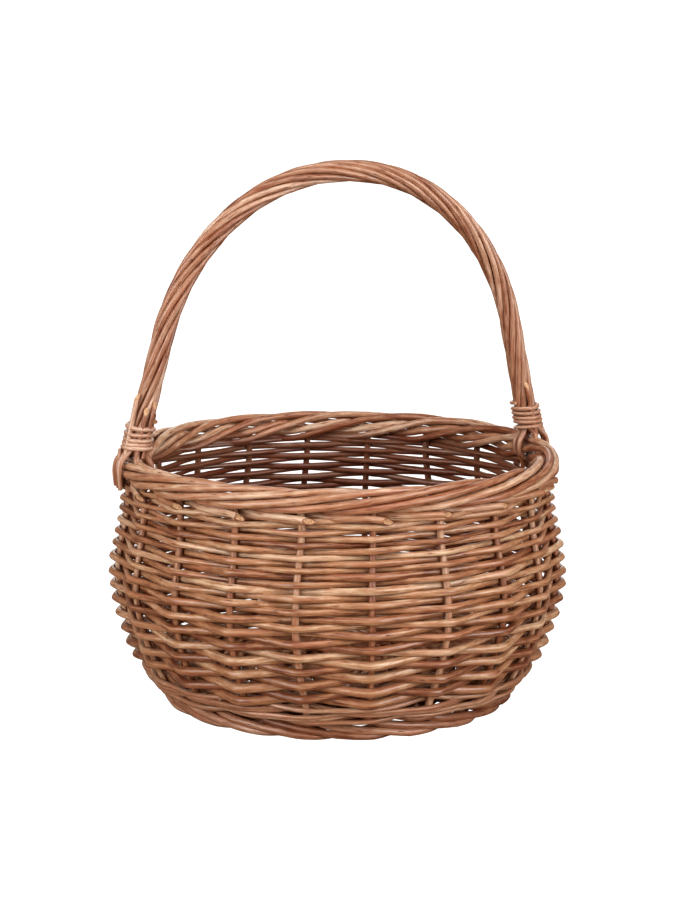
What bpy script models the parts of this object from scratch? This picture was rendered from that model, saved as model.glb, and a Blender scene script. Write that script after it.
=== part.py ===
"""Round willow egg basket with a fixed roped bow handle, for Blender 4.5.

Every willow rod is an object of its own. Twenty stakes start in the stick base, turn up to
make the ribs of the side and are rolled down into the border at the rim. Weavers pass in
front of one stake and behind the next, a three-rod wale closes the bottom corner, a foot
ring carries the base clear of the ground, and the handle is a bow core with eight strands
roped around it and a lashing at each neck.

Frame: metres, +Z up, origin on the ground under the middle of the foot ring. The handle
stands in the XZ plane with its two feet at -X and +X.
"""

import math

import bmesh
import bpy
from mathutils import Vector

# --- driving sizes -----------------------------------------------------------------------
STAKES = 20                 # ribs of the side; the base has one stick end for every two
CLEARANCE = 0.0003          # gap kept between rods that touch
WEAVE_GAP = 0.0005          # the same, where a rod bends around a stake

FOOT_RADIUS = 0.1130        # middle of the foot ring and of the lowest ribs
BELLY_RADIUS = 0.1480       # ribs at the widest level
BELLY_HEIGHT = 0.0880
NECK_RADIUS = 0.1405        # ribs just under the border
NECK_HEIGHT = 0.1420
BELLY_ROUNDNESS = 1.7       # power of the curve from the foot out to the belly

STAKE_D = 0.0042
STAKE_TIP = 0.82            # thickness of a stake's tip against its butt
WEAVER_LOW_D = 0.0047       # weavers are thick at the bottom and thin at the top
WEAVER_TOP_D = 0.0030
ROW_LOW_PITCH = 0.00540     # along the ribs, from one row to the next
ROW_TOP_PITCH = 0.00335
FIRST_ROW_HEIGHT = 0.0290
WEAVERS_PER_CHAIN = 7       # rods laid end to end in each of the two chasing chains
ROUNDS_PER_WEAVER = 2

WALE_D = 0.0032
WALE_RODS = 3
WALE_PITCH = 0.0039

STICK_D = 0.0060
THROUGH_STICK_D = 0.0050
SPLIT_SWELL = 1.5           # a split stick is this much thicker around its slot
BASE_EDGE_HEIGHT = 0.0132   # middle of the base sticks at their ends
BASE_DOME = 0.0050          # how much higher the base is at its centre
STICK_END_GAP = 0.0050      # from the stick ends out to the middle of the foot ring
STAKE_TAIL_RADIUS = 0.0640  # how far in each stake reaches beside its stick
BASE_WEAVER_D = 0.0041
BASE_WEAVE_START = 0.0240
BASE_WEAVE_MARGIN = 0.0025  # from the last round of base weaving to the stick ends

FOOT_RING_D = 0.0078
FOOT_FLAT = 0.0006          # what the standing face takes off the ring
FOOT_PEG_D = 0.0050

HANDLE_HEIGHT = 0.3610      # overall, to the top of the rope
HANDLE_INSET = 0.0019       # the legs stand this far inside the ribs
HANDLE_LEAN = 0.0050        # the top of the bow sits this far towards +X
LEG_LEAN = math.radians(13.2)
LEG_TOP_HEIGHT = 0.2500     # where the straight legs turn into the arch
ARCH_SIDE_PULL = 0.0563     # handle lengths of the arch's curve
ARCH_TOP_PULL = 0.0636
CORE_D = 0.0062
CORE_END = 0.75             # thickness of the core where its tongue begins
TONGUE_D = 0.0036           # pointed end of the core, inside the wall
TONGUE_BOTTOM = 0.1180
STRANDS = 8
STRAND_D = 0.0037
ROPE_TURNS = 2.8
ROPE_STATIONS = 36

LASHING_D = 0.0028
LASHING_TURNS = 5
LASHING_TAIL = 0.0200       # how far its outer tail hangs below the top of the border

# --- sizes that follow -------------------------------------------------------------------
BASE_RADIUS = FOOT_RADIUS - STICK_END_GAP
BASE_WEAVE_END = BASE_RADIUS - BASE_WEAVE_MARGIN
TURN_UP_RADIUS = FOOT_RADIUS - STAKE_D   # where the stakes leave the plane of the base
STAKE_ANGLE = 2 * math.pi / STAKES
FIRST_STAKE = STAKE_ANGLE / 2            # the handle's feet stand between two stakes
STICK_ENDS = STAKES // 2
ROWS = 2 * WEAVERS_PER_CHAIN * ROUNDS_PER_WEAVER
ROD_PITCH = STAKE_D + CLEARANCE          # from one border rod to the next
PROFILE_STEP = 0.0005                    # for measuring along the curve of the ribs
RIB_LEVELS = 14                          # points that draw a rib
LASHING_CORNERS = 10                     # points that draw one turn of a lashing

# A stake's way through the border: stake spacings along the rim, then the offset outwards
# and upwards in rod pitches. It leaves the wall, goes behind the next stake, comes out in
# front of two more, rolls over the top and comes out again under the border.
BORDER_ROUTE = (
    (0.0, 0.0, 0.9), (0.25, -0.02, 1.7), (0.5, -0.34, 1.95), (1.0, -1.12, 1.15),
    (1.25, -0.75, 0.62), (1.5, 0.05, 0.52), (2.0, 1.12, 0.9), (2.5, 1.22, 1.5),
    (3.0, 1.27, 2.1), (3.5, 0.98, 2.7), (4.0, 0.36, 3.08), (4.5, -0.36, 3.1),
    (5.0, -1.02, 2.6), (5.5, -1.55, 1.4), (6.0, -1.42, 0.0), (6.25, -0.8, -0.42),
    (6.5, 0.0, -0.45), (7.0, 1.1, -0.4),
)
BORDER_LOWEST = min(step[2] for step in BORDER_ROUTE)
BORDER_HIGHEST = max(step[2] for step in BORDER_ROUTE)
BORDER_INNERMOST = min(step[1] for step in BORDER_ROUTE)
BORDER_OUTERMOST = max(step[1] for step in BORDER_ROUTE)


# --- scene helpers -----------------------------------------------------------------------
def clear_scene():
    for old in list(bpy.data.objects):
        bpy.data.objects.remove(old, do_unlink=True)


def new_collection(name):
    collection = bpy.data.collections.new(name)
    bpy.context.scene.collection.children.link(collection)
    return collection


def willow(name, colour, roughness=0.55):
    """A plain willow material: colour is linear red, green, blue."""
    material = bpy.data.materials.new(name)
    material.use_nodes = True
    shader = material.node_tree.nodes["Principled BSDF"]
    shader.inputs["Base Color"].default_value = (*colour, 1.0)
    shader.inputs["Roughness"].default_value = roughness
    shader.inputs["Metallic"].default_value = 0.0
    return material


def rod(name, points, diameter, material, collection, widths=None, sides=6, closed=False):
    """A willow rod along points; widths are its thickness at each point against diameter."""
    curve = bpy.data.curves.new(name, "CURVE")
    curve.dimensions = "3D"
    curve.bevel_depth = diameter / 2
    curve.bevel_resolution = sides // 2 - 2
    curve.use_fill_caps = not closed
    spline = curve.splines.new("POLY")
    spline.points.add(len(points) - 1)
    for index, place in enumerate(points):
        spline.points[index].co = (*place, 1.0)
        spline.points[index].radius = widths[index] if widths else 1.0
    spline.use_cyclic_u = closed
    spline.use_smooth = True
    curve.materials.append(material)
    piece = bpy.data.objects.new(name, curve)
    collection.objects.link(piece)
    return piece


def as_mesh(piece):
    """Turn a curve object into a mesh object of the same name, with its caps welded."""
    depsgraph = bpy.context.evaluated_depsgraph_get()
    mesh = bpy.data.meshes.new_from_object(piece.evaluated_get(depsgraph))
    shape = bmesh.new()
    shape.from_mesh(mesh)
    bmesh.ops.remove_doubles(shape, verts=shape.verts, dist=0.00001)
    shape.to_mesh(mesh)
    shape.free()
    mesh.shade_smooth()
    mesh.set_sharp_from_angle(angle=math.radians(50))
    name, place, home = piece.name, piece.matrix_world.copy(), piece.users_collection[0]
    old_curve = piece.data
    bpy.data.objects.remove(piece, do_unlink=True)
    bpy.data.curves.remove(old_curve)
    solid = bpy.data.objects.new(name, mesh)
    solid.matrix_world = place
    home.objects.link(solid)
    return solid


def boolean(target, tool, operation):
    modifier = target.modifiers.new(operation.title(), "BOOLEAN")
    modifier.operation = operation
    modifier.solver = "EXACT"
    modifier.object = tool


def hide_tool(tool):
    tool.hide_render = True
    tool.display_type = "WIRE"


def block(name, lower, upper, collection):
    """A box between two corners."""
    mesh = bpy.data.meshes.new(name)
    shape = bmesh.new()
    bmesh.ops.create_cube(shape, size=1.0)
    shape.to_mesh(mesh)
    shape.free()
    piece = bpy.data.objects.new(name, mesh)
    lower, upper = Vector(lower), Vector(upper)
    piece.location = (lower + upper) / 2
    piece.scale = upper - lower
    collection.objects.link(piece)
    return piece


# --- geometry helpers --------------------------------------------------------------------
def polar(radius, angle, height):
    return Vector((radius * math.cos(angle), radius * math.sin(angle), height))


def mix(start, end, share):
    return start + (end - start) * share


def rib_radius(height):
    """Radius of the ribs' centre line at a height: out to the belly, then in to the neck."""
    if height <= BELLY_HEIGHT:
        share = (BELLY_HEIGHT - height) / BELLY_HEIGHT
        return BELLY_RADIUS - (BELLY_RADIUS - FOOT_RADIUS) * share ** BELLY_ROUNDNESS
    share = min((height - BELLY_HEIGHT) / (NECK_HEIGHT - BELLY_HEIGHT), 1.0)
    return mix(BELLY_RADIUS, NECK_RADIUS, share * share * (3 - 2 * share))


def rib_slope(height):
    """How fast the ribs move outwards as they rise."""
    half = PROFILE_STEP / 2
    return (rib_radius(height + half) - rib_radius(height - half)) / PROFILE_STEP


def climb(height, distance):
    """The height reached from height after a distance measured along a rib."""
    steps = max(1, math.ceil(abs(distance) / PROFILE_STEP))
    for _ in range(steps):
        height += distance / steps / math.hypot(1.0, rib_slope(height))
    return height


def row_height(row):
    """Height of a weaving row on the ribs; rows get closer together towards the top."""
    share = row / ROWS
    distance = row * mix(ROW_LOW_PITCH, ROW_TOP_PITCH, share / 2)
    return climb(FIRST_ROW_HEIGHT, distance)


def weaver_diameter(row):
    return mix(WEAVER_LOW_D, WEAVER_TOP_D, row / ROWS)


def beside_rib(height, angle, offset):
    """A point on a rib's level, moved square to the rib, outwards when offset is positive."""
    slope = rib_slope(height)
    length = math.hypot(1.0, slope)
    return polar(rib_radius(height) + offset / length, angle, height - offset * slope / length)


def weaver_point(row, angle, outside):
    """A weaver's centre at a stake, in front of it or behind it."""
    offset = (weaver_diameter(row) + STAKE_D) / 2 + WEAVE_GAP
    return beside_rib(row_height(row), angle, offset if outside else -offset)


TOP_ROW_HEIGHT = max(weaver_point(ROWS, 0.0, outside).z for outside in (True, False))
BORDER_BASE = (
    TOP_ROW_HEIGHT + weaver_diameter(ROWS) / 2 + CLEARANCE
    + STAKE_TIP * STAKE_D / 2 - BORDER_LOWEST * ROD_PITCH
)
RIM_RADIUS = rib_radius(BORDER_BASE)
BORDER_TOP = BORDER_BASE + BORDER_HIGHEST * ROD_PITCH + STAKE_D / 2
BORDER_INSIDE = RIM_RADIUS + BORDER_INNERMOST * ROD_PITCH - STAKE_D / 2
BORDER_OUTSIDE = RIM_RADIUS + BORDER_OUTERMOST * ROD_PITCH + STAKE_D / 2
WALE_BOTTOM = climb(FIRST_ROW_HEIGHT, -WALE_RODS * WALE_PITCH)
ROPE_RADIUS = CORE_D / 2 + WEAVE_GAP + STRAND_D
NECK_LEVEL = BORDER_TOP + TONGUE_D + 3 * CLEARANCE + ROPE_RADIUS * math.sin(LEG_LEAN)
HANDLE_SPREAD = RIM_RADIUS - HANDLE_INSET


def base_height(radius):
    """Middle height of the domed base at a radius."""
    return BASE_EDGE_HEIGHT + BASE_DOME * (1 - min(radius / BASE_RADIUS, 1.0) ** 2)


# --- base --------------------------------------------------------------------------------
def base_ray(radius, angle):
    return polar(radius, angle, base_height(radius))


def stick_radii():
    """Where a stick's bent half is drawn, from its end in to where the sticks fan out."""
    fan_start = 6 * STICK_D
    return [mix(fan_start, BASE_RADIUS, share) for share in (1.0, 0.55, 0.22, 0.0)]


def split_stick(number, turn, material, parts):
    """One of the three split sticks; turn is -1, 0 or 1, the side that its ends fan to."""
    fan = turn * 2 * math.pi / STICK_ENDS
    row = turn * (SPLIT_SWELL * STICK_D + CLEARANCE)
    slot = THROUGH_STICK_D * 2.3
    half = [base_ray(radius, fan) for radius in stick_radii()]
    half.append(Vector((slot + STICK_D, row + turn * 0.0008, base_height(slot))))
    middle = Vector((slot, row, base_height(0.0)))
    centre = Vector((0.0, row, base_height(0.0)))
    mirrored = [Vector((-place.x, place.y, place.z)) for place in reversed(half + [middle])]
    points = half + [middle, centre] + mirrored
    widths = [0.8, 0.9, 1.0, 1.0, 1.05, SPLIT_SWELL, SPLIT_SWELL]
    widths += list(reversed(widths[:-1]))
    return as_mesh(rod(f"base_stick_{number}", points, STICK_D, material, parts, widths))


def through_stick(number, side, material, parts):
    """One of the two sticks that pass through the slots; side is -1 or 1."""
    fan = math.pi / 2 - side * math.pi / STICK_ENDS
    offset = side * (THROUGH_STICK_D + CLEARANCE) / 2
    slath = 1.6 * SPLIT_SWELL * STICK_D
    half = [base_ray(radius, fan) for radius in stick_radii()]
    half.append(Vector((offset * 1.15, slath, base_height(0.0))))
    centre = Vector((offset, 0.0, base_height(0.0)))
    mirrored = [Vector((place.x, -place.y, place.z)) for place in reversed(half)]
    widths = [0.9, 1.0, 1.1, 1.1, 1.0, 1.0]
    widths += list(reversed(widths[:-1]))
    return rod(f"base_stick_{number}", half + [centre] + mirrored, THROUGH_STICK_D,
               material, parts, widths)


def make_base_sticks(material, parts, tools):
    slot_height = THROUGH_STICK_D / 2 + CLEARANCE
    slot_length = THROUGH_STICK_D + 4 * CLEARANCE
    reach = 2 * SPLIT_SWELL * STICK_D
    middle = base_height(0.0)
    slot = block("slath_slot", (-slot_length, -reach, middle - slot_height),
                 (slot_length, reach, middle + slot_height), tools)
    hide_tool(slot)
    for number, turn in enumerate((-1, 0, 1), start=1):
        boolean(split_stick(number, turn, material, parts), slot, "DIFFERENCE")
    for number, side in enumerate((-1, 1), start=4):
        through_stick(number, side, material, parts)


def make_base_weavers(material, parts):
    """Two rods that chase each other over and under the stick ends, out to the base's edge."""
    lift = (STICK_D + BASE_WEAVER_D) / 2 + CLEARANCE
    pitch = BASE_WEAVER_D + 3 * CLEARANCE
    for chain in range(2):
        points = []
        start = BASE_WEAVE_START + chain * pitch
        count = int((BASE_WEAVE_END - start) / (2 * pitch) * STAKES)
        for step in range(count + 1):
            radius = start + 2 * pitch * step / STAKES
            group = (step + 1) // 2
            side = 1 if (group + chain) % 2 else -1
            angle = FIRST_STAKE + step * STAKE_ANGLE
            points.append(polar(radius, angle, base_height(radius) + side * lift))
        rod(f"base_weaver_{chain + 1}", points, BASE_WEAVER_D, material, parts, sides=4)


# --- side --------------------------------------------------------------------------------
def stake_tail(angle, side):
    """The part of a stake that lies in the base, beside its stick end, and its bend up."""
    beside = (STICK_D + STAKE_D) / 2 + 2 * CLEARANCE
    stick_angle = angle - side * FIRST_STAKE
    points = []
    for share in (0.0, 1 / 3, 2 / 3, 1.0):
        radius = mix(STAKE_TAIL_RADIUS, TURN_UP_RADIUS, share)
        turn = mix(beside / STAKE_TAIL_RADIUS, FIRST_STAKE, share)
        points.append(polar(radius, stick_angle + side * turn, base_height(radius)))
    points.append(polar(FOOT_RADIUS, angle, BASE_EDGE_HEIGHT + STAKE_D * 0.3))
    return points


def stake_points(number):
    """Centre line of one stake: base tail, rib, then its way along the border."""
    angle = FIRST_STAKE + number * STAKE_ANGLE
    side = 1 if number % 2 == 0 else -1
    points = stake_tail(angle, side)
    low, high = WALE_BOTTOM - WALE_PITCH / 2, BORDER_BASE - ROD_PITCH
    for level in range(RIB_LEVELS):
        height = mix(low, high, level / (RIB_LEVELS - 1))
        points.append(polar(rib_radius(height), angle, height))
    for along, out, up in BORDER_ROUTE:
        height = BORDER_BASE + up * ROD_PITCH
        radius = rib_radius(min(height, BORDER_BASE)) + out * ROD_PITCH
        points.append(polar(radius, angle + along * STAKE_ANGLE, height))
    return points


def make_stakes(material, parts):
    for number in range(STAKES):
        points = stake_points(number)
        last = len(points) - 1
        widths = [mix(1.0, STAKE_TIP, (index / last) ** 2) for index in range(last + 1)]
        rod(f"stake_{number + 1:02d}", points, STAKE_D, material, parts, widths, sides=4)


def make_wale(material, parts):
    """Three rods around the bottom corner, each in front of two stakes and behind one."""
    offset = (WALE_D + STAKE_D) / 2 + WEAVE_GAP
    for number in range(WALE_RODS):
        height = climb(WALE_BOTTOM, number * WALE_PITCH)
        points = []
        for step in range(STAKES):
            inside = (step + number) % WALE_RODS == 0
            angle = FIRST_STAKE + (step + number * 2) * STAKE_ANGLE
            points.append(beside_rib(height, angle, -offset if inside else offset))
        end = beside_rib(height, FIRST_STAKE + (number * 2 - 0.25) * STAKE_ANGLE, 0.0)
        points.append(end)
        rod(f"wale_rod_{number + 1}", points, WALE_D, material, parts, sides=4)


def make_weavers(material, parts):
    """Two chains of rods chase each other up the side, about half a turn apart.

    The second chain starts an odd number of stakes later, so that the two pass each stake on
    opposite sides. Each rod starts and ends behind a stake.
    """
    steps_per_weaver = ROUNDS_PER_WEAVER * STAKES
    rows_per_step = 2 / STAKES
    end_gap = WEAVE_GAP / BELLY_RADIUS
    for chain in range(2):
        shift = chain * (STAKES // 2 | 1)
        first_row = rows_per_step * (shift - chain * STAKES / 2)
        for number in range(WEAVERS_PER_CHAIN):
            points, widths = [], []
            first = number * steps_per_weaver
            last = first + steps_per_weaver
            for step in range(first, last + 1):
                row = first_row + step * rows_per_step
                angle = FIRST_STAKE + (step + shift) * STAKE_ANGLE
                angle += end_gap * ((step == first) - (step == last))
                points.append(weaver_point(row, angle, step % 2 == 1))
                widths.append(weaver_diameter(row) / WEAVER_LOW_D)
            rod(f"weaver_{'ab'[chain]}{number + 1}", points, WEAVER_LOW_D, material, parts,
                widths, sides=4)


# --- foot --------------------------------------------------------------------------------
def make_foot(material, parts, tools):
    """The foot ring with a peg up to each stake, cut flat where it stands."""
    middle = FOOT_RING_D / 2 - FOOT_FLAT
    points = [polar(FOOT_RADIUS, step * STAKE_ANGLE / 2, middle) for step in range(2 * STAKES)]
    ring = as_mesh(rod("foot_ring", points, FOOT_RING_D, material, parts, closed=True))
    pegs = bmesh.new()
    top = BASE_EDGE_HEIGHT - STAKE_D / 2 - CLEARANCE
    for number in range(STAKES):
        shape = bmesh.ops.create_cone(pegs, cap_ends=True, segments=6, depth=top - middle,
                                      radius1=FOOT_PEG_D / 2, radius2=FOOT_PEG_D / 2)
        place = polar(FOOT_RADIUS, FIRST_STAKE + number * STAKE_ANGLE, (top + middle) / 2)
        bmesh.ops.translate(pegs, verts=shape["verts"], vec=place)
    mesh = bpy.data.meshes.new("foot_pegs")
    pegs.to_mesh(mesh)
    pegs.free()
    tool = bpy.data.objects.new("foot_pegs", mesh)
    tools.objects.link(tool)
    hide_tool(tool)
    boolean(ring, tool, "UNION")
    reach = FOOT_RADIUS + FOOT_RING_D
    ground = block("ground_cut", (-reach, -reach, -FOOT_RING_D), (reach, reach, 0.0), tools)
    hide_tool(ground)
    boolean(ring, ground, "DIFFERENCE")


# --- handle ------------------------------------------------------------------------------
def handle_side(side):
    """The bow's centre line on one side, from the neck up to the top."""
    top = HANDLE_HEIGHT - ROPE_RADIUS
    neck = Vector((HANDLE_SPREAD, 0.0, NECK_LEVEL))
    leg = LEG_TOP_HEIGHT - NECK_LEVEL
    shoulder = Vector((HANDLE_SPREAD - leg * math.tan(LEG_LEAN), 0.0, LEG_TOP_HEIGHT))
    pull = Vector((-math.sin(LEG_LEAN), 0.0, math.cos(LEG_LEAN))) * ARCH_SIDE_PULL
    crown = Vector((0.0, 0.0, top))
    controls = (shoulder, shoulder + pull, crown + Vector((ARCH_TOP_PULL, 0.0, 0.0)), crown)
    line = [neck.lerp(shoulder, step / 20) for step in range(20)]
    for step in range(41):
        share = step / 40
        weights = ((1 - share) ** 3, 3 * share * (1 - share) ** 2,
                   3 * share ** 2 * (1 - share), share ** 3)
        line.append(sum((point * weight for point, weight in zip(controls, weights)), Vector()))
    for place in line:
        lean = HANDLE_LEAN * (place.z - NECK_LEVEL) / (top - NECK_LEVEL)
        place.x = side * place.x + lean
    return line


def handle_line():
    """Evenly spaced stations along the whole bow: places and directions, -X foot first."""
    path = handle_side(-1) + list(reversed(handle_side(1)))[1:]
    lengths = [0.0]
    for start, end in zip(path, path[1:]):
        lengths.append(lengths[-1] + (end - start).length)
    places, index = [], 0
    for station in range(ROPE_STATIONS + 1):
        wanted = lengths[-1] * station / ROPE_STATIONS
        while index < len(path) - 2 and lengths[index + 1] < wanted:
            index += 1
        share = (wanted - lengths[index]) / (lengths[index + 1] - lengths[index])
        places.append(path[index].lerp(path[index + 1], share))
    directions = []
    for station in range(ROPE_STATIONS + 1):
        before = places[max(station - 1, 0)]
        after = places[min(station + 1, ROPE_STATIONS)]
        directions.append((after - before).normalized())
    return places, directions


def make_core(material, parts):
    """The bow, with a pointed tongue at each end that goes down inside the border."""
    places, _ = handle_line()
    inside = BORDER_INSIDE - TONGUE_D / 2 - CLEARANCE
    points, widths = list(places), [1.0] * len(places)
    widths[0] = widths[-1] = CORE_END
    thin = TONGUE_D / CORE_D
    turn_in = BORDER_TOP + TONGUE_D / 2 + CLEARANCE
    for side in (-1, 1):
        tongue = [
            (Vector((side * HANDLE_SPREAD, 0.0, turn_in)), thin),
            (Vector((side * inside, 0.0, turn_in)), thin),
            (Vector((side * inside, 0.0, BORDER_BASE)), thin),
            (Vector((side * inside, 0.0, TONGUE_BOTTOM)), 0.7 * thin),
        ]
        for place, width in tongue:
            end = 0 if side < 0 else len(points)
            points.insert(end, place)
            widths.insert(end, width)
    rod("handle_core", points, CORE_D, material, parts, widths)


def make_strands(material, parts):
    """Eight rods roped around the core."""
    places, directions = handle_line()
    offset = (CORE_D + STRAND_D) / 2 + WEAVE_GAP
    sideways = Vector((0.0, 1.0, 0.0))
    for number in range(STRANDS):
        points = []
        for station, (place, along) in enumerate(zip(places, directions)):
            turn = 2 * math.pi * (number / STRANDS + ROPE_TURNS * station / ROPE_STATIONS)
            across = along.cross(sideways)
            points.append(place + offset * (math.cos(turn) * sideways + math.sin(turn) * across))
        rod(f"handle_strand_{number + 1}", points, STRAND_D, material, parts, sides=4)


def make_lashings(material, parts):
    """A thin rod wound around each neck, with a tail that hangs down outside the border."""
    offset = ROPE_RADIUS / math.cos(LEG_LEAN) + LASHING_D / 2 + 4 * CLEARANCE
    pitch = LASHING_D + CLEARANCE
    start = BORDER_TOP + TONGUE_D + 4 * CLEARANCE + LASHING_D / 2
    for side, name in ((-1, "left"), (1, "right")):
        up = Vector((-side * math.tan(LEG_LEAN), 0.0, 1.0))
        foot = Vector((side * HANDLE_SPREAD, 0.0, NECK_LEVEL)) + up * (start - NECK_LEVEL)
        outside = side * (BORDER_OUTSIDE + LASHING_D / 2 + CLEARANCE)
        points = [Vector((outside, -0.001, BORDER_TOP - LASHING_TAIL)),
                  Vector((outside, 0.0, BORDER_TOP))]
        for step in range(LASHING_CORNERS * LASHING_TURNS + 1):
            turn = 2 * math.pi * step / LASHING_CORNERS
            around = Vector((side * math.cos(turn), math.sin(turn), 0.0))
            points.append(foot + up * pitch * step / LASHING_CORNERS + around * offset)
        rod(f"handle_lashing_{name}", points, LASHING_D, material, parts, sides=4)


# --- the basket --------------------------------------------------------------------------
def build():
    clear_scene()
    parts = new_collection("egg_basket")
    tools = new_collection("cutters")
    stick = willow("stick_willow", (0.300, 0.165, 0.088), 0.65)
    rib = willow("stake_willow", (0.420, 0.225, 0.125), 0.50)
    weave = willow("weaver_willow", (0.450, 0.245, 0.135), 0.50)
    foot = willow("foot_willow", (0.370, 0.180, 0.095), 0.55)
    bow = willow("core_willow", (0.330, 0.175, 0.095), 0.60)
    rope = willow("strand_willow", (0.400, 0.205, 0.110), 0.48)
    bind = willow("lashing_willow", (0.450, 0.240, 0.135), 0.45)
    make_base_sticks(stick, parts, tools)
    make_base_weavers(weave, parts)
    make_stakes(rib, parts)
    make_wale(weave, parts)
    make_weavers(weave, parts)
    make_foot(foot, parts, tools)
    make_core(bow, parts)
    make_strands(rope, parts)
    make_lashings(bind, parts)


build()
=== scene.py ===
"""Looks of a round willow egg basket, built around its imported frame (Blender 4.5).

Every rod is bent along its own line: a curve with a thickness that swells at the buds and
thins towards the tip, made into a mesh, with its ends cut at a slant. The rods that belong
to one node of the frame are joined into one piece.

Metres, +Z up, origin on the ground under the middle of the foot; the handle stands in the
XZ plane.
"""
import math
import random

import bpy
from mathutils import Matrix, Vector, noise


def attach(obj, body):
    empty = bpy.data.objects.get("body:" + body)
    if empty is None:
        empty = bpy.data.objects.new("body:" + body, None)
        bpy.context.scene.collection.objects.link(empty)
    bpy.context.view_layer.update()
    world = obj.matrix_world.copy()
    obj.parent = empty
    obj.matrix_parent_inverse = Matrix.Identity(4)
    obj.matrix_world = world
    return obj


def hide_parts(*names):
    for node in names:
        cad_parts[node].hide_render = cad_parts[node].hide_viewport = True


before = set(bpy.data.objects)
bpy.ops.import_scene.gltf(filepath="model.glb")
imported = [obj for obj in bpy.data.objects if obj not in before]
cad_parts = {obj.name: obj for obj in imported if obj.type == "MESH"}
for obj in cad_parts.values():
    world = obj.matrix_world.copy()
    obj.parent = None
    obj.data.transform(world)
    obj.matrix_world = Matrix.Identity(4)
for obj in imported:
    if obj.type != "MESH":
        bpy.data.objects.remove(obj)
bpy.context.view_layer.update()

# --- sizes of the basket, as in its frame ---------------------------------------------------
STAKES = 20
SPACING = 2 * math.pi / STAKES
FIRST_STAKE = SPACING / 2
CLEARANCE = 0.0003

FOOT_RADIUS = 0.1130
BELLY_RADIUS = 0.1480
BELLY_HEIGHT = 0.0880
NECK_RADIUS = 0.1405
NECK_HEIGHT = 0.1420
BELLY_ROUNDNESS = 1.7

ROWS = 28
ROW_LOW_PITCH = 0.00540
ROW_TOP_PITCH = 0.00358
FIRST_ROW_HEIGHT = 0.0290
WEAVERS_PER_CHAIN = 7
STEPS_PER_WEAVER = 40
WALE_BOTTOM_STEP = 0.0117   # from the first row down to the lowest wale rod, along the rib
WALE_PITCH = 0.0039

BASE_EDGE_HEIGHT = 0.0132
BASE_DOME = 0.0050
BASE_RADIUS = 0.1080
BORDER_BASE = 0.1530
ROD_PITCH = 0.0045
RIM_RADIUS = 0.1405
BORDER_TOP = 0.1692
BORDER_OUTSIDE = 0.1483

HANDLE_HEIGHT = 0.3610
HANDLE_SPREAD = 0.1386
HANDLE_LEAN = 0.0050
LEG_LEAN = math.radians(13.2)
LEG_TOP_HEIGHT = 0.2500
ARCH_SIDE_PULL = 0.0563
ARCH_TOP_PULL = 0.0636
ROPE_RADIUS = 0.0073
NECK_LEVEL = 0.1754
ROPE_TURNS = 2.8

# --- thickness of the rods ------------------------------------------------------------------
FRAME_STAKE_D = 0.0042      # in the frame, which keeps small gaps between the rods
STAKE_D = 0.0045
WEAVER_LOW_D = 0.0065
WEAVER_TOP_D = 0.0039
WALE_D = 0.0032
STRAND_D = 0.0041
LASHING_D = 0.0028
FOOT_ROD_D = 0.0056
STICK_D = 0.0060
THIN_STICK_D = 0.0050
BASE_WEAVER_D = 0.0048
BASE_WEAVER_PITCH = 0.0050
CORNER_ROD_D = 0.0036
HANDLE_CORE_D = 0.0062

CUT_SLANT = 1.7             # how much longer than wide a slanted cut is
BARK_RIM = 0.0005           # bark left around the border's cut ends
PRESSED = 0.86              # how far weavers stand off the stakes, as they press together
TUCK_LENGTH = 0.45          # stake spacings over which a weaver's end turns inwards
TUCK_DEPTH = 0.0028
WEAVER_POINTS = 10          # points on a weaver from stake to stake
STRAIGHT_RUN = 0.9905       # a ring's radius halfway between stakes, as a share
STRANDS = 8
STRAND_POINTS = 150
LASHING_START = 0.1746      # height of a lashing's first turn
LASHING_TURNS = 5.6
LASHING_POINTS = 24         # points on one turn of a lashing

# A stake's way through the border: stake spacings along the rim, then rod pitches out and up.
BORDER_ROUTE = (
    (0.0, 0.0, 0.9), (0.25, -0.02, 1.7), (0.5, -0.34, 1.95), (1.0, -1.12, 1.15),
    (1.25, -0.75, 0.62), (1.5, 0.05, 0.52), (2.0, 1.12, 0.9), (2.5, 1.22, 1.5),
    (3.0, 1.27, 2.1), (3.5, 0.98, 2.7), (4.0, 0.36, 3.08), (4.5, -0.36, 3.1),
    (5.0, -1.02, 2.6), (5.5, -1.55, 1.4), (6.0, -1.42, 0.0), (6.25, -0.8, -0.42),
    (6.5, 0.0, -0.45), (7.0, 1.1, -0.4),
)


WOOD, BARK = 1, 2           # material numbers of the cut ends and of the bark around them


# --- helpers ----------------------------------------------------------------------------------
def mix(start, end, share):
    return start + (end - start) * share


def polar(radius, angle, height):
    return Vector((radius * math.cos(angle), radius * math.sin(angle), height))


def wander(where, seed, size):
    """A slow, repeatable wobble between -size and size."""
    return size * noise.noise(Vector((where, seed * 7.31, 0.5)))


def rib_radius(height):
    """Radius of the ribs at a height: out to the belly, then in to the neck."""
    if height <= BELLY_HEIGHT:
        share = (BELLY_HEIGHT - height) / BELLY_HEIGHT
        return BELLY_RADIUS - (BELLY_RADIUS - FOOT_RADIUS) * share ** BELLY_ROUNDNESS
    share = min((height - BELLY_HEIGHT) / (NECK_HEIGHT - BELLY_HEIGHT), 1.0)
    return mix(BELLY_RADIUS, NECK_RADIUS, share * share * (3 - 2 * share))


def rib_slope(height):
    return (rib_radius(height + 0.00025) - rib_radius(height - 0.00025)) / 0.0005


def climb(height, distance):
    """The height reached after a distance measured along a rib."""
    steps = max(1, math.ceil(abs(distance) / 0.001))
    for _ in range(steps):
        height += distance / steps / math.hypot(1.0, rib_slope(height))
    return height


def row_height(row):
    return climb(FIRST_ROW_HEIGHT, row * mix(ROW_LOW_PITCH, ROW_TOP_PITCH, row / ROWS / 2))


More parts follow.
